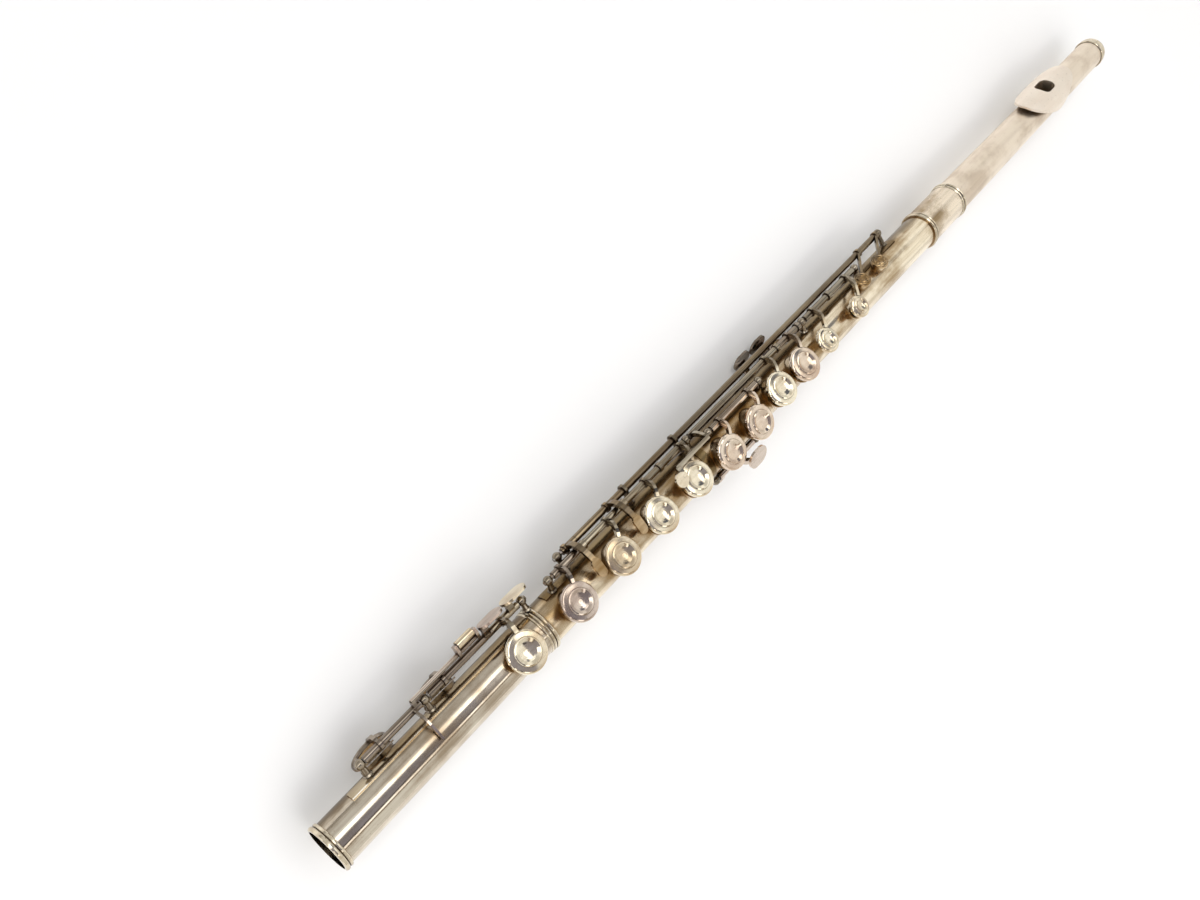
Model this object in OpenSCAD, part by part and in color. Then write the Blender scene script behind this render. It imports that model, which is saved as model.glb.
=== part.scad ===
// Concert flute, closed-hole, C foot. Units are millimetres.
// +X runs along the bore from the head to the foot, the origin is the centre of the
// foot's open end, +Z is the way the main keys face and -Y is the side of the long rods.
// Stations along the tube are measured from a datum 608 mm from that end.

/* [Tube] */
// Distance from the datum of the stations to the open end of the foot
datum_to_foot = 608; // [606:0.5:612]
// Station of the centre of the embouchure hole
hole_station = 6; // [0:0.5:12]
// Radius of the body and foot bore
bore_r = 9.5; // [9.4:0.05:9.6]
// Wall of the drawn tubes
wall = 0.4; // [0.35:0.05:0.45]
// Station of the lower end of the body tube, inside the foot socket
body_end = 494; // [493:0.5:494.5]
// Station of the upper end of the barrel
barrel_top = 125; // [123:0.5:127]
// Station of the lower end of the barrel
barrel_end = 161; // [159:0.5:163]
// Turn of the lip plate from the line of the keys towards the rods
head_roll = 47; // [30:1:55]

/* [Keys] */
// Outer radius of the large key cups on the body
cup_r = 8.8; // [8.6:0.05:8.9]
// Outer radius of the key cups on the foot
foot_cup_r = 9.3; // [9.1:0.05:9.4]
// Height of the pad seats above the axis of the tube
seat = 12.2; // [12.1:0.05:12.3]
// Angle by which an open key stands away from its hole
open_angle = 9; // [7:0.5:9]
// Sideways turn of the two G keys away from the rods
g_offset = 13; // [12:0.5:14]

/* [Rods] */
// Radius of the hinge tubes on the keys
hinge_r = 1.7; // [1.6:0.05:1.75]
// Radius of the steel rods inside the hinge tubes
steel_r = 1; // [0.9:0.05:1.05]
// Running clearance of a hinge tube on its steel
hinge_gap = 0.04; // [0.03:0.01:0.06]
// Radius of the ball on top of a post
ball_r = 2.2; // [2.1:0.05:2.25]

/* [Hidden] */
$fn = 64;
fine = 128;

tube_r = bore_r + wall;
socket_r = tube_r + 0.03;          // running fit of a tenon in its socket
socket_out = tube_r + 0.7;
ring_rise = 0.72;                  // height of the tallest bead over a socket

// Stations of the tone holes
st_c_sharp = 246;
st_c = 276.8;
st_bb = 297.8;
st_a = 318.6;
st_g_upper = 340.6;
st_g_lower = 363.9;
st_f_sharp = 388.6;
st_f = 414.8;
st_e = 442.5;
st_d = 471.9;
st_eb = 503;
st_low_c_sharp = 536;
st_low_c = 571;
st_d_trill = 229;
st_d_sharp_trill = 211;
st_thumb = 281;
st_g_sharp = 364;

// Angles round the tube, from the keys' line towards the rods
an_trill = 38;
an_thumb = 168;
an_g_sharp = -144;
an_eb = 9;
an_low = 136;

// Rod lines: [angle round the tube, distance from the tube's axis]
main_rod = [66, 16];
trill_rod = [82, 18];
g_rod = [46, 15];
thumb_rod = [215, 14.5];
g_sharp_rod = [-95, 13.4];
foot_rod = [78, 16.2];

// Stations of the posts
main_posts = [473.4, 375, 276.2, 224.9];
trill_posts = [461.5, 192];
trill_guides = [415.6, 378.4];
g_posts = [365.3, 323.6];
thumb_posts = [268, 318];
g_sharp_posts = [369.4, 336];
foot_post_stations = [579.5, 544.9, 487.2];

rib = 0.6;                         // thickness of the straps under the posts
flange_r = 2.2;
spring_r = 0.3;
spring_drop = 3;                   // a spring's depth below the line of its rod
chimney_wall = 0.45;
chimney_lip = 0.75;

silver = [0.86, 0.81, 0.72];
dark_silver = [0.6, 0.55, 0.48];
steel = [0.5, 0.48, 0.46];
pad_tan = [0.72, 0.52, 0.3];
cork = [0.76, 0.58, 0.38];

function at(s) = s - datum_to_foot;
// A point given by its angle round the tube and distance from the axis, as [y, z]
function polar(a, r) = [-r * sin(a), r * cos(a)];
function bezier(p, t) = (1 - t) * (1 - t) * p[0] + 2 * t * (1 - t) * p[1] + t * t * p[2];
function slope(p, t) = 2 * (1 - t) * (p[1] - p[0]) + 2 * t * (p[2] - p[1]);
function side(v) = [-v[1], v[0]] / norm(v);

// ---------------------------------------------------------------- building blocks

module around(a) {
    rotate([a, 0, 0]) children();
}

module at_station(s) {
    translate([at(s), 0, 0]) children();
}

// A solid rod along the tube between two stations
module bar(s0, s1, r, p = [0, 0], n = $fn) {
    translate([at(s0), p[0], p[1]]) rotate([0, 90, 0]) cylinder(h = s1 - s0, r = r, $fn = n);
}

module pipe(s0, s1, r_out, r_in) {
    difference() {
        bar(s0, s1, r_out, n = fine);
        bar(s0 - 1, s1 + 1, r_in, n = fine);
    }
}

// A body of revolution about the tube's axis, from [station, radius] points
module turned(points) {
    translate([at(0), 0, 0]) rotate([0, 90, 0]) rotate_extrude($fn = fine)
        polygon([for (p = points) [p[1], p[0]]]);
}

// A bead with a rounded outside: centre station, half width, base and crest radius
module bead(s, half, r_in, r_out) {
    turned(concat([[s - half, r_in]],
        [for (i = [0:6]) [s - half * cos(i * 30), r_out - half * (1 - sin(i * 30)) * 0.8]],
        [[s + half, r_in]]));
}

// A curved flat bar in the plane across the tube; p holds three [y, z] points
module ribbon(p, w0, w1, thick, steps = 8) {
    left = [for (i = [0:steps]) let (t = i / steps)
        bezier(p, t) + side(slope(p, t)) * (w0 + (w1 - w0) * t) / 2];
    right = [for (i = [steps:-1:0]) let (t = i / steps)
        bezier(p, t) - side(slope(p, t)) * (w0 + (w1 - w0) * t) / 2];
    rotate([90, 0, 90]) linear_extrude(height = thick, center = true)
        polygon(concat(left, right));
}

// A flat finger plate with round ends, centred at [y, z], long across or along the tube
module touch(s, p, tilt, len_x, len_y, thick = 1.2) {
    r = min(len_x, len_y) / 2;
    translate([at(s), p[0], p[1]]) rotate([tilt, 0, 0]) linear_extrude(height = thick, center = true)
        union() {
            square([max(len_x - 2 * r, 0.02), len_y - (len_x > len_y ? 0 : 2 * r)], center = true);
            for (i = [-1, 1])
                translate([i * max(len_x / 2 - r, 0), i * max(len_y / 2 - r, 0)]) circle(r = r);
            if (len_y > len_x) square([len_x, len_y - 2 * r], center = true);
            if (len_x > len_y) square([len_x - 2 * r, len_y], center = true);
        }
}

// A post: base flange on the rib, tapered stem and bored ball
module post(s, rod, base = tube_r + rib, hole = steel_r, flange = flange_r) {
    at_station(s) around(rod[0]) difference() {
        union() {
            translate([0, 0, base]) cylinder(h = 0.7, r1 = flange, r2 = min(flange, 1.7));
            translate([0, 0, base + 0.6]) cylinder(h = rod[1] - base - 1.6, r1 = 1.5, r2 = 1.15);
            translate([0, 0, rod[1]]) sphere(r = ball_r);
        }
        translate([-5, 0, rod[1]]) rotate([0, 90, 0]) cylinder(h = 10, r = hole);
    }
}

// A flat eyelet that steadies a long hinge tube halfway along
module guide(s, rod, base = tube_r + rib) {
    at_station(s) around(rod[0]) difference() {
        union() {
            translate([0, 0, base]) cylinder(h = 0.6, r = 1.8);
            translate([-0.7, -1.1, base + 0.4]) cube([1.4, 2.2, rod[1] - base - 2]);
            translate([-0.7, 0, rod[1]]) rotate([0, 90, 0]) cylinder(h = 1.4, r = hinge_r + 1.15);
        }
        translate([-2, 0, rod[1]]) rotate([0, 90, 0]) cylinder(h = 4, r = hinge_r + 0.06);
    }
}

// A strap bent to the tube between two stations and two angles
module strap(s0, s1, a0, a1) {
    r = tube_r + rib;
    wedge = r * 2;
    intersection() {
        pipe(s0, s1, r, tube_r);
        translate([at(s0) - 1, 0, 0]) rotate([90, 0, 90]) linear_extrude(height = s1 - s0 + 2)
            polygon([[0, 0], polar(a0, wedge), polar((a0 + a1) / 2, wedge), polar(a1, wedge)]);
    }
}

// The drawn neck of a tone hole, and the hole through it
module chimney(s, a, hole_r) {
    at_station(s) around(a) {
        cylinder(h = seat, r = hole_r + chimney_wall, $fn = fine);
        translate([0, 0, seat - 0.6]) cylinder(h = 0.6, r = hole_r + chimney_lip, $fn = fine);
    }
}

// Room for a chimney in the parts that pass it
module chimney_room(h, gap = 0.1) {
    at_station(h[0]) around(h[1]) cylinder(h = 20, r = h[2] + chimney_lip + gap, $fn = fine);
}

module tone_hole(s, a, hole_r) {
    at_station(s) around(a) translate([0, 0, 2]) cylinder(h = 20, r = hole_r, $fn = fine);
}

// ---------------------------------------------------------------- key parts
// In a key's own frame the cup's axis is Z, the tube's axis is X and the rod lies
// at [y, z]; a positive relative angle puts the rod on the -Y side.

function rel(rod, a) = polar(rod[0] - a, rod[1]);

// Turns a key about its rod by its opening angle; closing brings it back
module stand_open(rod, a, degrees) {
    y = rel(rod, a)[0];
    z = rel(rod, a)[1];
    translate([0, y, z]) rotate([degrees, 0, 0]) translate([0, -y, -z]) children();
}

// The cup: rolled skirt, flat shoulder, raised ring and dished middle
module cup(r, base = seat) {
    ring = r * 0.6;
    translate([0, 0, base]) rotate_extrude($fn = fine) polygon(concat(
        [[0, 2.25], [r - 0.5, 2.25], [r - 0.5, 0.9], [r - 0.25, 0.75], [r, 0.95]],
        [for (i = [0:4]) [r - 1.3 + 1.3 * cos(i * 20), 1.9 + 1.15 * sin(i * 20)]],
        [[ring + 0.75, 3.2], [ring + 0.45, 3.65], [ring, 3.8], [ring - 0.45, 3.6]],
        [for (i = [1:5]) [(ring - 0.45) * (1 - i / 5), 2.75 + 0.6 * pow(1 - i / 5, 2)]]));
}

module pad(r, base = seat) {
    translate([0, 0, base]) rotate_extrude($fn = fine)
        polygon([[0, 0], [r - 1.5, 0], [r - 0.75, 0.35], [r - 0.55, 0.9], [r - 0.55, 2.24], [0, 2.24]]);
}

// The arm from the cup's edge down to the rod, set askew by an angle towards the head
module cup_arm(rod_at, r, askew, base = seat, thick = 1.6) {
    reach = abs(rod_at[0]) / cos(askew);
    flip = rod_at[0] < 0 ? 1 : -1;
    mid = base + 2;
    mirror([0, flip < 0 ? 1 : 0, 0]) rotate([0, 0, -askew])
        ribbon([[-reach, rod_at[1]], [-reach * 0.98, max(mid, rod_at[1]) + 0.3], [-r + 0.4, mid]],
            2.8, 1.9, thick);
}

module hinge_tube(s0, s1, p) {
    bar(s0 + 0.1, s1 - 0.1, hinge_r, p);
}

module hinge_bore(s0, s1, p) {
    bar(s0 - 1, s1 + 1, steel_r + hinge_gap, p);
}

module collar(s, p, r = 2.45, w = 1.5) {
    bar(s - w / 2, s + w / 2, r, p);
}

// A whole key with one cup: its station and angle, its rod, the hinge tube's two ends,
// the cup's radius, the arm's skew and how far the key stands open
module cup_key(s, a, rod, s0, s1, r, askew, opening) {
    p = rel(rod, a);
    around(a) stand_open(rod, a, opening) difference() {
        union() {
            at_station(s) cup(r);
            at_station(s) cup_arm(p, r, askew);
            hinge_tube(s0, s1, p);
            collar(s - abs(p[0]) * tan(askew), p);
            children();
        }
        hinge_bore(s0, s1, p);
    }
}

module cup_pad(s, a, rod, r, opening) {
    around(a) stand_open(rod, a, opening) at_station(s) pad(r);
}

skew = 29;
main_at = rel(main_rod, 0);
trill_at = rel(trill_rod, 0);
main_ends = [470.4, 451.8, 423.4, 397, 377.3];

// ---------------------------------------------------------------- body

body_top = barrel_end - 6;
large_hole = 6.9;
trill_hole = 3.1;
body_holes = concat(
    [for (s = [st_bb, st_a, st_f_sharp, st_f, st_e, st_d]) [s, 0, large_hole]],
    [for (s = [st_g_upper, st_g_lower]) [s, -g_offset, large_hole]],
    [[st_c_sharp, 0, 3.9], [st_thumb, an_thumb, 6.6], [st_g_sharp, an_g_sharp, 6.6],
     [st_d_trill, an_trill, trill_hole], [st_d_sharp_trill, an_trill, trill_hole]]);

module body_tube() {
    color(silver) difference() {
        union() {
            bar(body_top, body_end, tube_r, n = fine);
            for (h = body_holes) chimney(h[0], h[1], h[2]);
        }
        bar(body_top - 1, body_end + 1, bore_r, n = fine);
        for (h = body_holes) tone_hole(h[0], h[1], h[2]);
    }
}

// The barrel: a free fit round the head's tenon, soldered onto the body tube
module barrel() {
    color(silver) difference() {
        bar(barrel_top, barrel_end, socket_out, n = fine);
        bar(barrel_top - 1, body_top, socket_r, n = fine);
        bar(body_top - 1, barrel_end + 1, tube_r, n = fine);
    }
}

module barrel_rings() {
    color(silver) for (e = [[barrel_top, 1], [barrel_end, -1]]) {
        difference() {
            union() {
                bead(e[0] + e[1] * 0.9, 0.9, socket_r, socket_out + ring_rise);
                bead(e[0] + e[1] * 2.9, 0.8, socket_out - 0.3, socket_out + 0.5);
                bar(min(e[0], e[0] + e[1] * 3.6), max(e[0], e[0] + e[1] * 3.6), socket_out + 0.12, n = fine);
            }
            bar(barrel_top - 1, barrel_end + 1, socket_out, n = fine);
        }
    }
}

module body_ribs() {
    color(dark_silver) difference() {
        union() {
            strap(187, 479, 57, 90);
            strap(g_posts[1] - 3, g_posts[0] + 4, 40, 54);
            strap(thumb_posts[0] - 5, thumb_posts[1] + 5, 208, 222);
            strap(g_sharp_posts[1] - 4, g_sharp_posts[0] + 4, -107, -83);
            strap(371.9, 376.6, -60, 59);
        }
        for (h = body_holes) chimney_room(h);
    }
}

module body_posts() {
    color(silver) {
        for (s = main_posts) post(s, main_rod);
        for (s = trill_posts) post(s, trill_rod, hole = steel_r + hinge_gap);
        for (s = trill_guides) guide(s, trill_rod);
        for (s = g_posts) post(s, g_rod, flange = 1.6);
        for (s = thumb_posts) post(s, thumb_rod);
        for (s = g_sharp_posts) post(s, g_sharp_rod);
    }
}

module steel_rod(s0, s1, rod) {
    bar(s0, s1, steel_r, polar(rod[0], rod[1]));
}

module hinge_steels() {
    color(steel) {
        steel_rod(main_posts[1] + 0.05, main_posts[0] + ball_r, main_rod);
        steel_rod(main_posts[3] - ball_r, main_posts[1] - 0.05, main_rod);
        steel_rod(g_posts[1] - ball_r, g_posts[0] + ball_r, g_rod);
        steel_rod(thumb_posts[0] - ball_r, thumb_posts[1] + ball_r, thumb_rod);
        steel_rod(g_sharp_posts[1] - ball_r, g_sharp_posts[0] + ball_r, g_sharp_rod);
    }
}

// A needle spring: a thin wire from the side of a post, lying along under the hinge tubes
module needle(post_st, way, rod, drop = spring_drop) {
    length = 14;
    at_station(post_st + (way > 0 ? 1.5 : -1.5 - length)) around(rod[0])
        translate([0, 0, rod[1] - drop]) rotate([0, 90, 0])
            cylinder(h = length, r = spring_r, $fn = 16);
}

module needle_springs() {
    color(steel) {
        needle(main_posts[0], -1, main_rod);
        for (s = [main_posts[1], main_posts[2], main_posts[3]]) needle(s, 1, main_rod);
        needle(trill_posts[0], -1, trill_rod);
        needle(g_posts[0], -1, g_rod);
        needle(thumb_posts[0], 1, thumb_rod);
        needle(g_sharp_posts[1] + 0.6, 1, g_sharp_rod, 2.3);
    }
}

// ---------------------------------------------------------------- keys on the main rod

module c_sharp_key() {
    touch_r = 6.7;
    color(silver) cup_key(st_c_sharp, 0, main_rod, 227.2, 273.8, 6, 36, open_angle) {
        at_station(st_c) cup(touch_r);
        at_station(st_c) cup_arm(main_at, touch_r, 34);
        collar(st_c - 14.6 * tan(34), main_at);
        collar(251.5, main_at, 2.45, 2.4);
    }
}

module c_sharp_pad() {
    color(pad_tan) cup_pad(st_c_sharp, 0, main_rod, 6, open_angle);
}

module bb_key() {
    color(silver) cup_key(st_bb, 0, main_rod, 278.6, 297.8, cup_r, skew, open_angle)
        collar(280.6, main_at, 2.3, 2);
}

module bb_pad() {
    color(pad_tan) cup_pad(st_bb, 0, main_rod, cup_r, open_angle);
}

module a_key() {
    color(silver) cup_key(st_a, 0, main_rod, 297.8, 345.6, cup_r, skew, open_angle)
        collar(299.6, main_at, 2.3, 2);
}

module a_pad() {
    color(pad_tan) cup_pad(st_a, 0, main_rod, cup_r, open_angle);
}

module f_sharp_key() {
    color(silver) cup_key(st_f_sharp, 0, main_rod, main_ends[4], main_ends[3], cup_r, skew, open_angle)
        collar(main_ends[3] - 1.4, main_at, 2.3, 2);
}

module f_sharp_pad() {
    color(pad_tan) cup_pad(st_f_sharp, 0, main_rod, cup_r, open_angle);
}

module f_key() {
    color(silver) cup_key(st_f, 0, main_rod, main_ends[3], main_ends[2], cup_r, skew, open_angle)
        collar(main_ends[2] - 1.4, main_at, 2.3, 2);
}

module f_pad() {
    color(pad_tan) cup_pad(st_f, 0, main_rod, cup_r, open_angle);
}

module e_key() {
    color(silver) cup_key(st_e, 0, main_rod, main_ends[2], main_ends[1], cup_r, skew, open_angle)
        collar(main_ends[1] - 1.4, main_at, 2.3, 2);
}

module e_pad() {
    color(pad_tan) cup_pad(st_e, 0, main_rod, cup_r, open_angle);
}

module d_key() {
    d_skew = 22;
    color(silver) cup_key(st_d, 0, main_rod, main_ends[1], main_ends[0], cup_r, d_skew, open_angle);
}

module d_pad() {
    color(pad_tan) cup_pad(st_d, 0, main_rod, cup_r, open_angle);
}

// The shake lever: a bent bar from the main rod to a round finger plate
module bb_lever() {
    arm_st = 371.6;
    touch_st = 397.2;
    knee = [-12, 17.2];
    plate = [-6.9, 18.85];
    color(silver) difference() {
        union() {
            hinge_tube(345.6, 372.7, main_at);
            at_station(arm_st) ribbon([main_at, [-16.2, 12], knee], 2.4, 2, 1.6);
            translate([at(arm_st) - 0.8, knee[0] - 1, knee[1] - 0.8])
                cube([touch_st - arm_st - 1.4, 2, 1.5]);
            at_station(touch_st - 2.6) ribbon([knee, [-10, 18.6], plate], 1.5, 1.4, 2.4);
            translate([at(touch_st), plate[0], plate[1] - 0.7]) cylinder(h = 1.3, r = 3.6);
        }
        hinge_bore(345.6, 372.7, main_at);
    }
}

// ---------------------------------------------------------------- G keys

module g_keys() {
    p = rel(g_rod, -g_offset);
    s0 = g_posts[1] + 2.3;
    s1 = g_posts[0] - 2.3;
    g_skew = 29;
    color(silver) cup_key(st_g_lower, -g_offset, g_rod, s0, s1, cup_r, g_skew, open_angle) {
        at_station(st_g_upper) cup(cup_r);
        at_station(st_g_upper) cup_arm(p, cup_r, g_skew);
        collar(st_g_upper - abs(p[0]) * tan(g_skew), p);
    }
}

module g_pads() {
    color(pad_tan) for (s = [st_g_lower, st_g_upper])
        cup_pad(s, -g_offset, g_rod, cup_r, open_angle);
}

module g_sharp_key() {
    p = rel(g_sharp_rod, an_g_sharp);
    root = g_sharp_rod[0] - an_g_sharp;
    plate = polar(-40.4 - an_g_sharp, 21.1);
    r = 8.4;
    color(silver) around(an_g_sharp) difference() {
        union() {
            at_station(st_g_sharp) cup(r);
            at_station(st_g_sharp) ribbon([p, [-12, 17.8], [-3.5, 16.4]], 2.4, 2, 2.2);
            hinge_tube(g_sharp_posts[1] + 2.3, g_sharp_posts[0] - 2.3, p);
            at_station(352.3) ribbon([p, polar(root + 26, 19.6), plate], 2.6, 1.3, 2.8);
            touch(353.4, plate, -43 - an_g_sharp + 10, 13, 9.5);
        }
        hinge_bore(g_sharp_posts[1], g_sharp_posts[0], p);
    }
}

module g_sharp_pad() {
    color(pad_tan) around(an_g_sharp) at_station(st_g_sharp) pad(8.4);
}

// ---------------------------------------------------------------- thumb keys

thumb_at = rel(thumb_rod, an_thumb);

module thumb_b_key() {
    plate = polar(-42, 19.6);
    color(silver) cup_key(st_thumb, an_thumb, thumb_rod, 270.3, 297, 8.4, 0, open_angle) {
        at_station(289) ribbon([[6, seat + 2.2], [10, seat + 4], plate], 1.6, 1.4, 5);
        at_station(285.5) ribbon([[3, seat + 3.1], [5, seat + 3.5], [8, seat + 3.2]], 1.4, 1.4, 9);
        touch(290.5, plate, -42, 12.5, 9);
    }
}

module thumb_b_pad() {
    color(pad_tan) cup_pad(st_thumb, an_thumb, thumb_rod, 8.4, open_angle);
}

module thumb_bb_lever() {
    plate = polar(-42, 19.6);
    color(silver) around(an_thumb) stand_open(thumb_rod, an_thumb, open_angle) difference() {
        union() {
            hinge_tube(297, 315.7, thumb_at);
            at_station(304.5) ribbon([thumb_at, [-5, seat + 6.4], plate], 2.8, 1.4, 3.2);
            touch(304.6, plate, -42, 12.5, 9);
        }
        hinge_bore(297, 315.7, thumb_at);
    }
}

// ---------------------------------------------------------------- trill keys

trill_cup_r = 4.8;
trill_skew = 52;

module trill_touch(s) {
    plate = [-5.4, 15.4];
    at_station(s) ribbon([trill_at, [-21, 12], [-9.5, 15.2]], 2.4, 1.6, 2.6);
    touch(s, plate, 0, 4.6, 9.4);
    collar(s + 1.6, trill_at, 2.4, 1.6);
}

module trill_cup(s, a) {
    p = rel(trill_rod, a);
    around(a) at_station(s) {
        cup(trill_cup_r);
        cup_arm(p, trill_cup_r, trill_skew, thick = 1.3);
    }
    collar(s - abs(p[0]) * tan(trill_skew), trill_at, 2.4, 1.6);
}

module d_trill_key() {
    color(silver) difference() {
        union() {
            hinge_tube(205.4, 449.6, trill_at);
            trill_touch(426.2);
            trill_cup(st_d_trill, an_trill);
        }
        hinge_bore(205.4, 449.6, trill_at);
    }
}

module d_trill_pad() {
    color(pad_tan) cup_pad(st_d_trill, an_trill, trill_rod, trill_cup_r, 0);
}

// The two short sleeves are pinned to the long steel, which turns with them
module d_sharp_trill_key() {
    color(silver) difference() {
        union() {
            hinge_tube(449.6, 458.4, trill_at);
            hinge_tube(194.3, 205.4, trill_at);
            trill_touch(454.6);
            trill_cup(st_d_sharp_trill, an_trill);
        }
        bar(trill_posts[1], trill_posts[0], steel_r, trill_at);
    }
}

module d_sharp_trill_pad() {
    color(pad_tan) cup_pad(st_d_sharp_trill, an_trill, trill_rod, trill_cup_r, 0);
}

module trill_steel() {
    color(steel) steel_rod(trill_posts[1] - ball_r, trill_posts[0] + ball_r, trill_rod);
}

// ---------------------------------------------------------------- head joint

head_end = body_top - 0.5;
crown_edge = -65.5;
// Outside of the head tube: [station, radius], a tenon and then a taper to the crown
head_taper = [[crown_edge + 0.1, 8.9], [-20, 9], [10, 9.2], [40, 9.42], [80, 9.7], [115, 9.86],
    [head_end, tube_r]];
plate_r = 14.2;
plate_thick = 1.3;
plate_half = 28;
plate_drop = 1.1;                  // how far the plate's crest falls at its ends
plate_middle = hole_station - 1;
hole_x = 6.1;
hole_y = 5.15;
hole_corner = 3.6;

// The embouchure opening: a rounded rectangle, as a prism along the riser
module embouchure(grow, z0, z1) {
    translate([at(hole_station), 0, z0]) linear_extrude(height = z1 - z0) union() {
        for (i = [-1, 1], j = [-1, 1])
            translate([i * (hole_x - hole_corner), j * (hole_y - hole_corner)])
                circle(r = hole_corner + grow);
        square([2 * (hole_x + grow), 2 * (hole_y - hole_corner)], center = true);
        square([2 * (hole_x - hole_corner), 2 * (hole_y + grow)], center = true);
    }
}

module head_outside() {
    turned(concat([[crown_edge, 0]], head_taper, [[head_end, 0]]));
}

module head_tube() {
    inner = [for (i = [len(head_taper) - 1:-1:0]) [head_taper[i][0], head_taper[i][1] - wall]];
    color(silver) difference() {
        turned(concat(head_taper, inner));
        around(head_roll) embouchure(0, 2, 20);
    }
}

// Crest of the lip plate at a distance from its middle, and what lies under the plate
function crest(x) = plate_r - plate_drop * pow(abs(x) / plate_half, 2.2);
plate_under = [for (x = [-plate_half:4:plate_half]) [plate_middle + x, crest(x) - plate_thick]];

module riser() {
    color(silver) around(head_roll) difference() {
        intersection() {
            embouchure(1, 8, 20);
            turned(concat([[plate_middle - plate_half, 0]], plate_under, [[plate_middle + plate_half, 0]]));
        }
        embouchure(0, 2, 20);
        head_outside();
    }
}

// Outline of the lip plate, long along the tube, blunt at the strike side
module plate_outline() {
    half_y = 12.8;
    translate([at(plate_middle), 0, 0]) linear_extrude(height = 30)
        polygon([for (i = [0:47]) let (a = i * 7.5)
            [plate_half * blunt(cos(a), 0.95), half_y * blunt(sin(a), 0.85)]]);
}

function blunt(v, power) = sign(v) * pow(abs(v), power);

module lip_plate() {
    top = [for (x = [plate_half:-4:-plate_half]) [plate_middle + x, crest(x)]];
    color(silver) around(head_roll) difference() {
        intersection() {
            turned(concat(plate_under, top));
            plate_outline();
        }
        embouchure(0, 2, 20);
        head_outside();
    }
}

screw_r = 2;
cork_face = hole_station - 17.3;
cork_from = cork_face - 16.7;

module crown() {
    color(silver) difference() {
        union() {
            turned([[crown_edge, 0], [crown_edge, 9.1], [-67, 9.25], [-70, 9.3], [-71.4, 9],
                [-72, 8], [-72.3, 6], [-72.3, 0]]);
            bead(crown_edge - 1, 0.9, 8, 9.65);
            bar(crown_edge - 1, crown_edge + 7, 8.4);
        }
        bar(crown_edge - 5.5, crown_edge + 8, screw_r + 0.04);
    }
}

module stopper_screw() {
    color(steel) bar(crown_edge - 2, cork_face - 1.2, screw_r);
}

module stopper_plates() {
    color(steel) {
        bar(cork_face - 1.2, cork_face, 8.5);
        difference() {
            bar(cork_from - 1.2, cork_from, 8.4);
            bar(cork_from - 2, cork_face, screw_r);
        }
    }
}

module stopper_cork() {
    color(cork) difference() {
        bar(cork_from, cork_face - 1.2, 8.52);
        bar(cork_from - 1, cork_face, screw_r);
    }
}

// ---------------------------------------------------------------- foot joint

foot_top = 486;
socket_end = body_end + 2.2;
foot_at = polar(foot_rod[0], foot_rod[1]);
foot_hole = 7.6;
foot_holes = [[st_eb, an_eb, foot_hole - 0.3], [st_low_c_sharp, an_low, foot_hole],
    [st_low_c, an_low, foot_hole]];

module foot_tube() {
    color(silver) difference() {
        union() {
            bar(body_end + 0.1, datum_to_foot, tube_r, n = fine);
            for (h = foot_holes) chimney(h[0], h[1], h[2]);
        }
        bar(body_end - 9, datum_to_foot + 1, bore_r, n = fine);
        for (h = foot_holes) tone_hole(h[0], h[1], h[2]);
    }
}

// The socket that takes the end of the body; cut away round the first tone hole
module foot_socket() {
    color(silver) difference() {
        bar(foot_top, socket_end, socket_out, n = fine);
        bar(foot_top - 1, body_end + 0.05, socket_r, n = fine);
        bar(body_end, socket_end + 1, tube_r, n = fine);
        chimney_room(foot_holes[0], 0);
    }
}

module foot_rings() {
    color(silver) {
        difference() {
            union() {
                bead(foot_top + 0.9, 0.9, socket_out - 0.2, socket_out + ring_rise);
                bead(foot_top + 2.7, 0.8, socket_out - 0.2, socket_out + 0.45);
                bead(foot_top + 4.3, 0.7, socket_out - 0.2, socket_out + 0.35);
            }
            bar(foot_top - 1, foot_top + 8, socket_out, n = fine);
        }
        difference() {
            union() {
                bead(datum_to_foot - 1, 1, tube_r - 0.2, tube_r + 1.05);
                bead(datum_to_foot - 2.9, 0.8, tube_r - 0.2, tube_r + 0.75);
            }
            bar(datum_to_foot - 8, datum_to_foot + 1, tube_r, n = fine);
        }
    }
}

module foot_rib() {
    color(dark_silver) difference() {
        strap(foot_top + 11.5, 590, 56, 84);
        for (h = foot_holes) chimney_room(h);
    }
}

module foot_posts() {
    color(silver) {
        for (i = [0, 1]) post(foot_post_stations[i], foot_rod);
        post(foot_post_stations[2], foot_rod, base = socket_out + ring_rise);
    }
}

module foot_steel() {
    color(steel) steel_rod(foot_post_stations[2] - ball_r, foot_post_stations[0] + ball_r, foot_rod);
}

module foot_springs() {
    color(steel) {
        for (i = [0, 1]) needle(foot_post_stations[i], -1, foot_rod);
    }
}

eb_ends = [489.6, 505.6];
low_c_sharp_ends = [505.6, 542.4];
low_c_ends = [547.2, 577.4];

// A finger plate outside the foot rod, on a short arm from the hinge tube
module foot_touch(s, arm_st, plate, tilt, len_x, len_y, arm_w = 3.2) {
    at_station(arm_st) ribbon([foot_at, foot_at + [-2.6, 2.6], plate], 2.6, 1.3, arm_w);
    touch(s, plate, tilt, len_x, len_y);
}

module eb_key() {
    p = rel(foot_rod, an_eb);
    eb_askew = 12;
    color(silver) difference() {
        union() {
            around(an_eb) at_station(st_eb) {
                cup(foot_cup_r);
                cup_arm(p, foot_cup_r, eb_askew, thick = 2);
            }
            hinge_tube(eb_ends[0], eb_ends[1], foot_at);
            collar(st_eb - abs(p[0]) * tan(eb_askew), foot_at);
            foot_touch(489.5, 493.6, polar(75, 21.8), 88, 14, 8.6);
        }
        hinge_bore(eb_ends[0], eb_ends[1], foot_at);
    }
}

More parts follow.
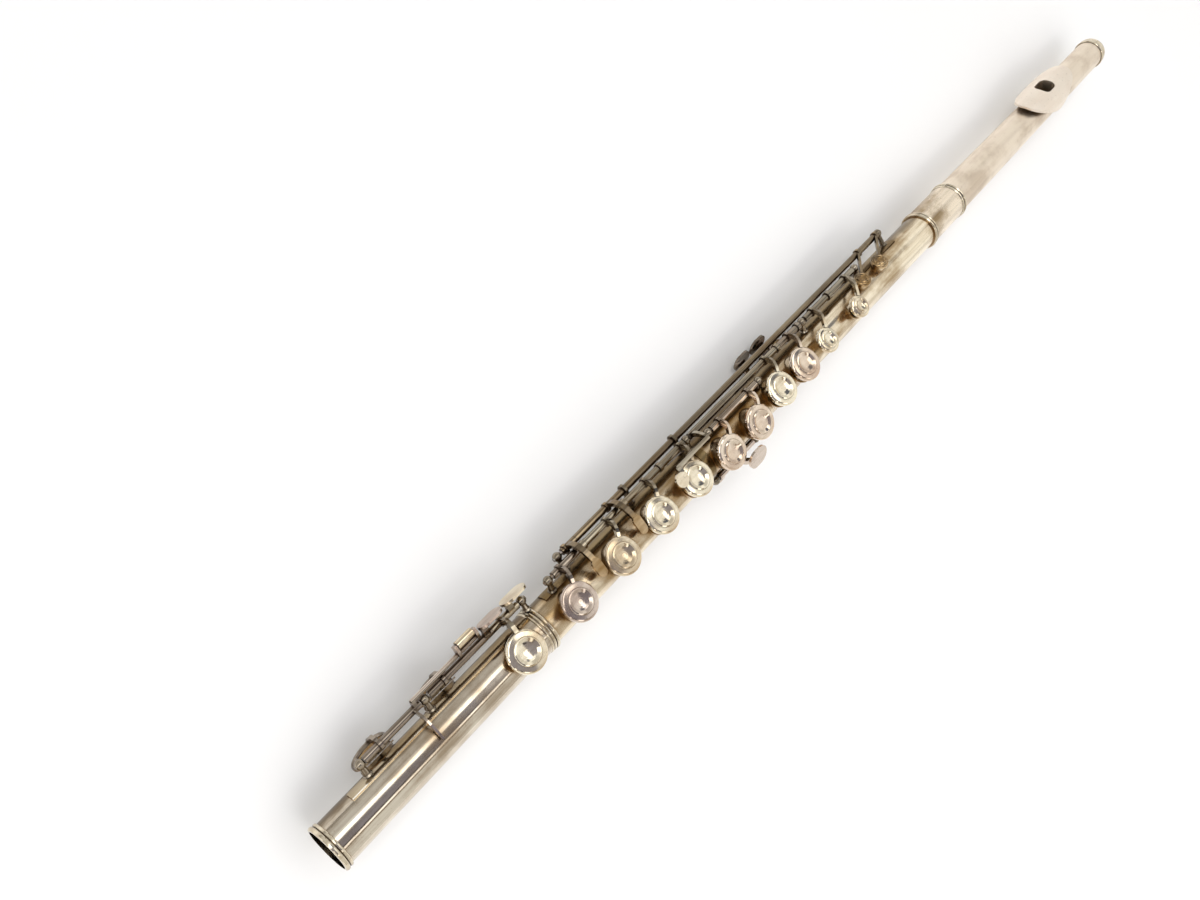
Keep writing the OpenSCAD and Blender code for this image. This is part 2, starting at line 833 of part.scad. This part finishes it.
module eb_pad() {
    color(pad_tan) cup_pad(st_eb, an_eb, foot_rod, foot_cup_r, 0);
}

// Cup, arm and hinge tube of a low key, whose cup lies below the rod
module low_key_cup(s, ends) {
    p = rel(foot_rod, an_low);
    around(an_low) at_station(s) {
        cup(foot_cup_r);
        cup_arm(p, foot_cup_r, 8, thick = 2);
    }
    hinge_tube(ends[0], ends[1], foot_at);
    collar(s - abs(p[0]) * tan(8), foot_at);
}

module low_open() {
    translate([0, foot_at[0], foot_at[1]]) rotate([-open_angle, 0, 0])
        translate([0, -foot_at[0], -foot_at[1]]) children();
}

module low_c_sharp_key() {
    color(silver) low_open() difference() {
        union() {
            low_key_cup(st_low_c_sharp, low_c_sharp_ends);
            foot_touch(504, 508.4, polar(75.5, 22.4), 97, 13, 8);
        }
        hinge_bore(low_c_sharp_ends[0], low_c_sharp_ends[1], foot_at);
    }
}

module low_c_sharp_pad() {
    color(pad_tan) low_open() around(an_low) at_station(st_low_c_sharp) pad(foot_cup_r);
}

roller_at = polar(77, 23.8);
roller_st = [513.2, 522];
bridge_at = polar(77, 20.2);

module low_c_key() {
    color(silver) low_open() difference() {
        union() {
            low_key_cup(st_low_c, low_c_ends);
            // bridge that carries the touch past the post and the low C sharp tube
            bar(518, 550, 1, bridge_at);
            at_station(549.4) ribbon([foot_at, (foot_at + bridge_at) / 2, bridge_at], 2.4, 2, 1.8);
            // fork with the roller's pin
            for (s = [roller_st[0] - 1, roller_st[1] + 1])
                at_station(s) ribbon([bridge_at + [0.6, -0.2], (bridge_at + roller_at) / 2 + [0, 0.6],
                    roller_at + [-0.8, -0.2]], 3, 3, 1.4);
            bar(roller_st[0] - 1.7, roller_st[1] + 1.7, 1, bridge_at);
            bar(roller_st[0] - 1.7, roller_st[1] + 1.7, 0.6, roller_at);
            // stop arm that lies across the tube
            at_station(551) ribbon([foot_at + [0, 1], polar(50, 18.2), polar(12, 13.8)], 2, 1.4, 1.1);
        }
        hinge_bore(low_c_ends[0], low_c_ends[1], foot_at);
    }
}

module low_c_pad() {
    color(pad_tan) low_open() around(an_low) at_station(st_low_c) pad(foot_cup_r);
}

module low_c_roller() {
    color(silver) low_open() difference() {
        bar(roller_st[0], roller_st[1], 1.9, roller_at);
        bar(roller_st[0] - 1, roller_st[1] + 1, 0.65, roller_at);
    }
}

body_tube();
barrel();
barrel_rings();
body_ribs();
body_posts();
hinge_steels();
needle_springs();
c_sharp_key();
c_sharp_pad();
bb_key();
bb_pad();
a_key();
a_pad();
g_keys();
g_pads();
f_sharp_key();
f_sharp_pad();
f_key();
f_pad();
e_key();
e_pad();
d_key();
d_pad();
bb_lever();
thumb_b_key();
thumb_b_pad();
thumb_bb_lever();
g_sharp_key();
g_sharp_pad();
d_trill_key();
d_trill_pad();
d_sharp_trill_key();
d_sharp_trill_pad();
trill_steel();
head_tube();
riser();
lip_plate();
crown();
stopper_screw();
stopper_plates();
stopper_cork();
foot_tube();
foot_socket();
foot_rings();
foot_rib();
foot_posts();
foot_steel();
foot_springs();
eb_key();
eb_pad();
low_c_sharp_key();
low_c_sharp_pad();
low_c_key();
low_c_pad();
low_c_roller();
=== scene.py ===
"""Looks for a closed-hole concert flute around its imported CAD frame.

Lengths are metres. The tube lies along X with the foot's open end at X = 0 and the crown at negative X.
+Z is the side of the key cups, and the rods stand on the -Y side. Angles round the tube are in degrees,
start at +Z and grow towards -Y.
"""

import bmesh
import bpy
from mathutils import Matrix, Vector


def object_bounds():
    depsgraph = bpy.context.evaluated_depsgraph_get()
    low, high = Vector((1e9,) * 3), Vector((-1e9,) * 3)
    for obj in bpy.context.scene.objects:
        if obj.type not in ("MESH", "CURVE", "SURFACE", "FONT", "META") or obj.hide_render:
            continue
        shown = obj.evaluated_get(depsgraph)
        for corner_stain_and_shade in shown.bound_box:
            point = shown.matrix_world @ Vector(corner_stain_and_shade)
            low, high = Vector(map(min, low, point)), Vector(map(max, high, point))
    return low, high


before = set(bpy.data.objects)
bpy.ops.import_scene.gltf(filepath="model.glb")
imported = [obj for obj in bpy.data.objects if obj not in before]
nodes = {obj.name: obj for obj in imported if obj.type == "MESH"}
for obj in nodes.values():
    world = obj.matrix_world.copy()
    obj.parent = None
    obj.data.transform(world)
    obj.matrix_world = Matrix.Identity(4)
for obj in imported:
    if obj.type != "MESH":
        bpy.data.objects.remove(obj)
bpy.context.view_layer.update()
cad_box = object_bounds()
MM = 0.001


# ---------------------------------------------------------------- camera

SENSOR_WIDTH = 36        # millimetres, like the lens
NEAR_CLIP = 0.01


def add_camera(place, forward, up, lens):
    """Where the camera stands, which way it looks and which way is up in the picture."""
    data = bpy.data.cameras.new("camera")
    data.sensor_fit = "HORIZONTAL"
    data.sensor_width = SENSOR_WIDTH
    data.lens = lens
    data.clip_start = NEAR_CLIP
    camera = bpy.data.objects.new("camera", data)
    back = -Vector(forward).normalized()
    right = Vector(up).cross(back).normalized()
    turn = Matrix((right, back.cross(right), back)).transposed()
    camera.matrix_world = Matrix.Translation(place) @ turn.to_4x4()
    bpy.context.scene.collection.objects.link(camera)
    bpy.context.scene.camera = camera


add_camera(
    place=(0.0438, -0.1598, 0.4240),
    forward=(-0.4783, 0.2421, -0.8441),
    up=(-0.6107, -0.7825, 0.1216),
    lens=33.49,
)


# ---------------------------------------------------------------- node helpers

MIX_INPUTS = (0, 6, 7)        # a colour Mix node's factor, first and second colour
MIX_OUTPUT = 2
NOISE_ROUGHNESS = 0.55


class Graph:
    """Adds nodes to a node tree. A value given as a socket is linked, any other is set."""

    def __init__(self, tree):
        self.tree = tree

    def add(self, kind, inputs=(), **settings):
        node = self.tree.nodes.new("ShaderNode" + kind)
        for name, value in settings.items():
            setattr(node, name, value)
        for key, value in dict(inputs).items():
            self.feed(node.inputs[key], value)
        return node

    def feed(self, socket, value):
        if isinstance(value, bpy.types.NodeSocket):
            self.tree.links.new(value, socket)
        else:
            socket.default_value = value

    def place(self):
        """The point's place on the object, which is also its place in the frame at rest."""
        return self.add("TexCoord").outputs["Object"]

    def math(self, operation, *values):
        node = self.add("Math", operation=operation)
        for socket, value in zip(node.inputs, values):
            self.feed(socket, value)
        return node.outputs[0]

    def rescale(self, value, low, high, to_low=0.0, to_high=1.0):
        """Takes low..high smoothly to to_low..to_high and holds the ends."""
        node = self.add("MapRange", interpolation_type="SMOOTHSTEP")
        for key, entry in enumerate((value, low, high, to_low, to_high)):
            self.feed(node.inputs[key], entry)
        return node.outputs[0]

    def within(self, value, low, high, soft):
        """1 from low to high and 0 outside, with each end faded by soft to either side."""
        return self.math("MULTIPLY", self.rescale(value, low - soft, low + soft),
                         self.rescale(value, high + soft, high - soft))

    def angle_round(self, across, height):
        """The angle round the tube of a point or a direction, from its Y and Z."""
        return self.math("DEGREES", self.math("ARCTAN2", self.math("MULTIPLY", across, -1.0), height))

    def mix(self, amount, first, second):
        node = self.add("Mix", data_type="RGBA")
        for key, entry in zip(MIX_INPUTS, (amount, first, second)):
            self.feed(node.inputs[key], entry)
        return node.outputs[MIX_OUTPUT]

    def noise(self, place, stretch, detail=3.0, seed=0.0):
        """Noise whose features are 1/stretch metres long on each axis."""
        mapped = self.add("Mapping", {"Vector": place, "Scale": stretch, "Location": (seed, seed, seed)})
        node = self.add("TexNoise", {"Vector": mapped.outputs[0], "Scale": 1.0, "Detail": detail,
                                     "Roughness": NOISE_ROUGHNESS})
        return node.outputs[0]

    def bump(self, height, strength, distance, **over):
        """A bumped normal, over another one if Normal is given."""
        inputs = {"Strength": strength, "Distance": distance, "Height": height, **over}
        return self.add("Bump", inputs).outputs[0]

    def finish(self, inputs):
        """Ends a material in a principled shader with these inputs."""
        shader = self.add("BsdfPrincipled", inputs)
        self.add("OutputMaterial", {"Surface": shader.outputs[0]})


def new_material(name):
    material = bpy.data.materials.new(name)
    material.use_nodes = True
    material.node_tree.nodes.clear()
    return material, Graph(material.node_tree)


def rgba(colour):
    return (*colour, 1.0)


# ---------------------------------------------------------------- materials

AMBER = (0.28, 0.155, 0.045)
UMBER = (0.06, 0.035, 0.02)
# Colour of the painted shade along the hinge rods
ROD_SHADE_BROWN = (0.14, 0.115, 0.085)
FLANK_SHADE_BROWN = (0.13, 0.085, 0.04)
PAINTED_HIGHLIGHT = (0.95, 0.9, 0.78)

# Where the rods' painted shade lies in Y: it grows from the first to the second, and is gone again from the
# third to the fourth, where fingers reach the plates outside the rods
ROD_SHADE_Y = (-9.5 * MM, -12.5 * MM, -19.4 * MM, -20.6 * MM)
ROD_SHADE_DEPTH = 0.85
FLANK_FROM, FLANK_FULL = 54, 78        # degrees round the tube where the painted brown shade on the flank under the rods begins, and is full
FLANK_RAGGED = 9.0                     # degrees by which that border wanders
HIGHLIGHT_HALF_WIDTH = (1.6, 3.2)           # degrees from the middle of a painted highlight along an edge to where it fades, and ends
CLOUD_TARNISHES = 0.75                 # how much of full tarnish the clouds make
SPECK_STAINS = 0.3
TARNISH_ROUGHENS = 0.1
GRIME_ROUGHENS = 0.16
CORNER_SAMPLES = 6
DENT_STRENGTH = 0.12
SCRATCH_DEPTH = 0.03 * MM
DENT_DEPTH = 0.4 * MM


def aged_silver(name, bright, dull, stain, rough, streak=0.35, clouding=1.0, crevice=4.5 * MM, scratch=0.12,
                rod_stain=None, grime=(0.92, 0.42), highlight_at=None, shaded=0.0):
    """Old silver plate: bright metal under clouds and lengthwise streaks of tarnish; tarnish and painted
    shade in corners.

    streak, clouding and scratch are the strengths of the streaks, the clouds and the fine scratches. The
    tarnish and painted shade in the corners look for neighbours as far off as crevice, and grow as the
    openness to the sky falls from grime's first value to its second. A rod_stain colour is painted shade over
    what lies out along the hinge rods, standing for the shaded floor that the metal there mirrors.
    highlight_at is an angle round the tube where a bright line is painted on as a highlight, and shaded is
    how far the flank under the rods is painted brown as a dark reflection.
    """
    material, g = new_material(name)
    place = g.place()
    # Each pattern is noise between the value where it starts and the value where it is full
    cloud = g.rescale(g.noise(place, (45, 75, 75), detail=5), 0.38, 0.66)
    drawn = g.rescale(g.noise(place, (14, 330, 330), detail=4, seed=3.1), 0.35, 0.7)
    speck = g.rescale(g.noise(place, (850, 850, 850), detail=3, seed=7.7), 0.6, 0.78)
    patchy = g.rescale(g.noise(place, (260, 260, 260), seed=1.7), 0.2, 0.6, 0.6, 1.0)
    tarnish = g.math("ADD", g.math("MULTIPLY", cloud, CLOUD_TARNISHES * clouding),
                     g.math("MULTIPLY", drawn, streak))
    tarnish = g.math("MINIMUM", tarnish, 1.0)
    # Tarnish and painted shade in the corners: darker and rougher where ambient occlusion finds neighbours
    # close by
    open_sky = g.add("AmbientOcclusion", {"Distance": crevice}, samples=CORNER_SAMPLES).outputs["AO"]
    corner_stain_and_shade = g.math("MULTIPLY", g.rescale(open_sky, *grime), patchy)

    colour = g.mix(tarnish, rgba(bright), rgba(dull))
    colour = g.mix(g.math("MULTIPLY", speck, SPECK_STAINS), colour, rgba(stain))
    if rod_stain or shaded or highlight_at is not None:
        _, across, height = g.add("SeparateXYZ", {"Vector": place}).outputs
    # Painted shade out along the hinge rods, standing for the shaded floor that the metal there mirrors
    if rod_stain:
        grows, full, fades, ends = ROD_SHADE_Y
        out = g.math("MULTIPLY", g.rescale(across, grows, full, 0.0, ROD_SHADE_DEPTH),
                     g.rescale(across, ends, fades))
        out = g.math("MULTIPLY", out, g.rescale(drawn, 0.0, 1.0, 0.75, 1.0))
        colour = g.mix(out, colour, rgba(rod_stain))
    colour = g.mix(corner_stain_and_shade, colour, rgba(stain))
    # Painted shade: the flank under the rods is painted brown as a dark reflection
    if shaded:
        wander = g.rescale(g.noise(place, (60, 240, 240), seed=8.8), 0.3, 0.7, -FLANK_RAGGED, FLANK_RAGGED)
        ragged = g.math("ADD", g.angle_round(across, height), wander)
        colour = g.mix(g.rescale(ragged, FLANK_FROM, FLANK_FULL, 0.0, shaded), colour, rgba(FLANK_SHADE_BROWN))
    # Painted highlight: a bright line at one angle round the tube, where an edge catches the light
    if highlight_at is not None:
        full, end = HIGHLIGHT_HALF_WIDTH
        away = g.math("ABSOLUTE", g.math("SUBTRACT", g.angle_round(across, height), highlight_at))
        colour = g.mix(g.rescale(away, end, full), colour, rgba(PAINTED_HIGHLIGHT))

    gloss = g.math("ADD", rough, g.math("MULTIPLY", tarnish, TARNISH_ROUGHENS))
    gloss = g.math("ADD", gloss, g.math("MULTIPLY", corner_stain_and_shade, GRIME_ROUGHENS))
    fine = g.bump(g.noise(place, (60, 2600, 2600), detail=2, seed=5.3), scratch, SCRATCH_DEPTH)
    wavy = g.bump(g.noise(place, (110, 160, 160), detail=2, seed=9.9), DENT_STRENGTH, DENT_DEPTH, Normal=fine)
    g.finish({"Base Color": colour, "Metallic": 1.0, "Roughness": gloss, "Normal": wavy})
    return material


def blued_steel():
    """Hinge rods and springs: dark drawn steel, turned bright in places and browned in others."""
    drawn_grey, turned_grey, rust = (0.36, 0.33, 0.31), (0.5, 0.47, 0.43), (0.27, 0.19, 0.12)
    material, g = new_material("blued_steel")
    place = g.place()
    turned = g.rescale(g.noise(place, (900, 60, 60), detail=4), 0.35, 0.7)
    brown = g.rescale(g.noise(place, (70, 200, 200), detail=4, seed=2.2), 0.4, 0.7)
    colour = g.mix(turned, rgba(drawn_grey), rgba(turned_grey))
    colour = g.mix(brown, colour, rgba(rust))
    gloss = g.math("ADD", 0.26, g.math("MULTIPLY", brown, 0.14))
    rings = g.bump(g.noise(place, (1500, 300, 300), detail=2, seed=4.0), 0.2, SCRATCH_DEPTH)
    g.finish({"Base Color": colour, "Metallic": 1.0, "Roughness": gloss, "Normal": rings})
    return material


def pad_skin():
    """Aged bladder skin stretched over felt: amber and blotched, with fine pale wrinkles."""
    honey, brown, pale = (0.62, 0.42, 0.2), (0.4, 0.23, 0.09), (0.76, 0.6, 0.38)
    material, g = new_material("aged_pad_skin")
    place = g.place()
    blotch = g.rescale(g.noise(place, (240, 240, 240), detail=5), 0.35, 0.68)
    pores = g.noise(place, (1900, 1900, 1900), detail=4, seed=6.0)
    colour = g.mix(blotch, rgba(honey), rgba(brown))
    colour = g.mix(g.rescale(pores, 0.55, 0.8, 0.0, 0.5), colour, rgba(pale))
    g.finish({"Base Color": colour, "Roughness": 0.48, "Normal": g.bump(pores, 0.5, 0.12 * MM),
              "Subsurface Weight": 0.12, "Subsurface Scale": 0.8 * MM})
    return material


def natural_cork():
    """Stopper cork: pale cells with dark pits."""
    cell_brown, cell_pale, pit_brown = (0.56, 0.37, 0.2), (0.72, 0.53, 0.32), (0.2, 0.11, 0.05)
    material, g = new_material("natural_cork")
    place = g.place()
    cells = g.add("TexVoronoi", {"Vector": place, "Scale": 1400.0}).outputs["Distance"]
    pits = g.rescale(g.noise(place, (260, 520, 520), detail=5), 0.56, 0.7)
    colour = g.mix(g.rescale(cells, 0.1, 0.7), rgba(cell_brown), rgba(cell_pale))
    colour = g.mix(pits, colour, rgba(pit_brown))
    normal = g.bump(g.math("SUBTRACT", cells, pits), 0.6, 0.2 * MM)
    g.finish({"Base Color": colour, "Roughness": 0.85, "Normal": normal})
    return material


# Openness to the sky where the keys' tarnish and painted shade in their corners begin, and where they are
# full
KEY_GRIME_AND_SHADE = (0.99, 0.58)


def key_silver(name, bright, dull, rough):
    """The keys' plate: tarnish and painted shade close round every edge, and painted shade out along the
    hinge rods.
    """
    return aged_silver(name, bright, dull, UMBER, rough, crevice=2.6 * MM,
                       rod_stain=ROD_SHADE_BROWN, grime=KEY_GRIME_AND_SHADE)


head_silver = aged_silver("head_silver", (0.95, 0.83, 0.68), (0.62, 0.5, 0.38), (0.34, 0.22, 0.12),
                          rough=0.34, streak=0.2, scratch=0.35, clouding=0.9)
lip_silver = aged_silver("lip_silver", (0.99, 0.89, 0.77), (0.88, 0.76, 0.64), (0.12, 0.07, 0.03),
                         rough=0.4, streak=0.2, clouding=0.6, scratch=0.25, grime=(0.98, 0.6))
barrel_silver = aged_silver("barrel_silver", (0.92, 0.8, 0.64), (0.34, 0.24, 0.13), AMBER,
                            rough=0.22, streak=0.3, clouding=1.1)
tube_silver = aged_silver("tube_silver", (0.96, 0.85, 0.66), (0.44, 0.32, 0.18), AMBER,
                          rough=0.13, streak=0.5, crevice=10 * MM, grime=(0.96, 0.5), shaded=0.85)
foot_silver = aged_silver("foot_silver", (0.8, 0.73, 0.61), (0.44, 0.35, 0.25), AMBER,
                          rough=0.07, streak=0.5, clouding=0.9, crevice=6 * MM, shaded=0.85)
ring_silver = aged_silver("ring_silver", (0.88, 0.79, 0.62), (0.5, 0.4, 0.27), UMBER,
                          rough=0.12, crevice=1.4 * MM, grime=KEY_GRIME_AND_SHADE)
rib_silver = aged_silver("rib_silver", (0.34, 0.25, 0.13), (0.14, 0.085, 0.03), (0.05, 0.025, 0.01),
                         rough=0.2)
# The rib's edge carries a painted highlight
foot_rib_silver = aged_silver("foot_rib_silver", (0.5, 0.42, 0.3), (0.26, 0.18, 0.09), (0.08, 0.04, 0.015),
                              rough=0.12, highlight_at=57.0)
# Darker than the keys, partly as painted shade for the shaded floor that the posts mirror
post_silver = aged_silver("post_silver", (0.42, 0.36, 0.28), (0.15, 0.12, 0.08), UMBER,
                          rough=0.1, crevice=3 * MM, grime=KEY_GRIME_AND_SHADE)
key_cream = key_silver("key_cream", (0.96, 0.87, 0.68), (0.64, 0.5, 0.33), rough=0.07)
key_rose = key_silver("key_rose", (0.9, 0.77, 0.62), (0.62, 0.46, 0.34), rough=0.08)
key_dusky = key_silver("key_dusky", (0.76, 0.65, 0.55), (0.48, 0.37, 0.3), rough=0.09)
key_amber = key_silver("key_amber", (0.6, 0.45, 0.27), (0.3, 0.18, 0.07), rough=0.1)

BY_SLOT = {
    "head_silver": head_silver, "lip_silver": lip_silver, "tube_silver": tube_silver,
    "key_silver": key_cream, "post_silver": post_silver, "rod_steel": blued_steel(),
    "pad_skin": pad_skin(), "cork": natural_cork(),
}
# Nodes that wear something else than their slot's usual finish
BY_NODE = {
    "barrel": barrel_silver, "body_ribs": rib_silver, "foot_rib": foot_rib_silver,
    "crown": ring_silver, "foot_rings": ring_silver, "barrel_rings": ring_silver,
    "foot_tube": foot_silver, "foot_socket": foot_silver,
    "g_keys": key_rose, "bb_key": key_rose, "d_key": key_dusky, "g_sharp_key": key_dusky,
    "thumb_b_key": key_dusky, "thumb_bb_lever": key_dusky,
    "low_c_key": key_dusky, "low_c_sharp_key": key_dusky,
    "d_trill_key": key_amber, "d_sharp_trill_key": key_amber,
}

for node_name, node in nodes.items():
    slot_name = node.material_slots[0].material.name.split(".")[0]
    finish = BY_NODE.get(node_name, BY_SLOT.get(slot_name, key_cream))
    for holder in node.material_slots:
        holder.material = finish


# ---------------------------------------------------------------- floor and light

FLOOR_HALF = 6.0
FLOOR_GAP = 0.2 * MM        # between the flute's lowest point and the floor
WALL_GREY = (0.93, 0.93, 0.93)
DEGREES_PER_REACH = 60      # softness in degrees divided by this is softness along X

# The studio as the silver mirrors it, later ones over earlier ones: colour, from and to in degrees round the
# tube, from and to along X as a direction (below -1 and above 1 is all the way), and softness in degrees
SKY_PATCHES = [
    ((1.0, 1.0, 0.98), (-60, 75), (-1.1, -0.62), 6),        # bright wall beyond the head
    ((0.72, 0.71, 0.69), (-75, 80), (-1.1, -0.815), 3),     # and its dimmer far end
    ((0.62, 0.61, 0.59), (40, 180), (-0.6, 1.1), 4),        # half-lit room on the rods' side
    ((0.36, 0.35, 0.33), (80, 180), (-0.6, 1.1), 8),        # its dim skirting
    ((0.78, 0.77, 0.74), (-180, -38), (-0.5, 1.1), 4),      # half-lit room on the other side
    ((0.30, 0.29, 0.34), (-18, 14), (-0.3, 1.1), 2),        # someone standing over the foot
    ((0.05, 0.04, 0.05), (-23, -17), (-0.3, 1.1), 1.5),     # their darkest edge
    ((0.30, 0.24, 0.17), (-38, -31), (-0.36, 1.1), 1.5),    # a brown table edge beyond them
    ((2.5, 2.5, 2.45), (16, 32), (-0.46, 1.1), 2),          # window by the rods' side
    ((0.12, 0.13, 0.17), (7, 27), (-0.7, -0.46), 2),        # dark blue doorway beside it
    ((2.5, 2.5, 2.4), (-7, 12), (-0.46, -0.32), 2),         # small lamp above it
    ((1.9, 1.85, 1.8), (-31, -24), (-0.36, 1.1), 1),        # narrow bright gap beside the person
]

KEY_LIGHT_OFFSET = Vector((0.35, 0.75, 1.2))
KEY_LIGHT_SIZE = (1.5, 1.3)
KEY_LIGHT_WATTS = 10
KEY_LIGHT_COLOUR = (1, 0.99, 0.98)


def add_floor(level, half):
    """A plain pale floor."""
    mesh = bpy.data.meshes.new("floor")
    build = bmesh.new()
    bmesh.ops.create_grid(build, x_segments=1, y_segments=1, size=half)
    build.to_mesh(mesh)
    build.free()
    floor = bpy.data.objects.new("floor", mesh)
    floor.location = (cad_box[0].x / 2, 0, level)
    bpy.context.scene.collection.objects.link(floor)
    material, g = new_material("floor_paper")
    grain = g.rescale(g.noise(g.place(), (3, 3, 3), detail=2), 0.3, 0.7)
    colour = g.mix(grain, rgba((0.9, 0.9, 0.9)), rgba((0.92, 0.92, 0.92)))
    g.finish({"Base Color": colour, "Roughness": 0.9, "Specular IOR Level": 0.1})
    mesh.materials.append(material)


def add_sky(base, patches):
    """A studio all round: even soft light with patches in it. Seen past the flute it is plain."""
    world = bpy.data.worlds.new("studio")
    bpy.context.scene.world = world
    world.use_nodes = True
    world.node_tree.nodes.clear()
    g = Graph(world.node_tree)
    way = g.add("SeparateXYZ", {"Vector": g.add("TexCoord").outputs["Generated"]})
    along, across, height = way.outputs
    turn = g.angle_round(across, height)
    colour = rgba(base)
    for light, turn_ends, along_ends, soft in patches:
        shape = g.math("MULTIPLY", g.within(turn, *turn_ends, soft),
                       g.within(along, *along_ends, soft / DEGREES_PER_REACH))
        colour = g.mix(shape, colour, rgba(light))
    seen = g.add("LightPath").outputs["Is Camera Ray"]
    shader = g.add("Background", {"Color": g.mix(seen, colour, rgba(base)), "Strength": 1.0})
    g.add("OutputWorld", {"Surface": shader.outputs[0]})


def add_key_light(target):
    """A large soft light aimed at a point. The silver doesn't mirror it, as the sky holds what it mirrors."""
    data = bpy.data.lights.new("key_light", "AREA")
    data.shape = "RECTANGLE"
    data.size, data.size_y = KEY_LIGHT_SIZE
    data.energy = KEY_LIGHT_WATTS
    data.color = KEY_LIGHT_COLOUR
    light = bpy.data.objects.new("key_light", data)
    light.location = target + KEY_LIGHT_OFFSET
    light.rotation_mode = "QUATERNION"
    light.rotation_quaternion = (-KEY_LIGHT_OFFSET).to_track_quat("-Z", "Y")
    light.visible_glossy = False
    bpy.context.scene.collection.objects.link(light)


add_floor(cad_box[0].z - FLOOR_GAP, FLOOR_HALF)
add_sky(WALL_GREY, SKY_PATCHES)
add_key_light((cad_box[0] + cad_box[1]) / 2)
bpy.context.scene.view_settings.view_transform = "Standard"
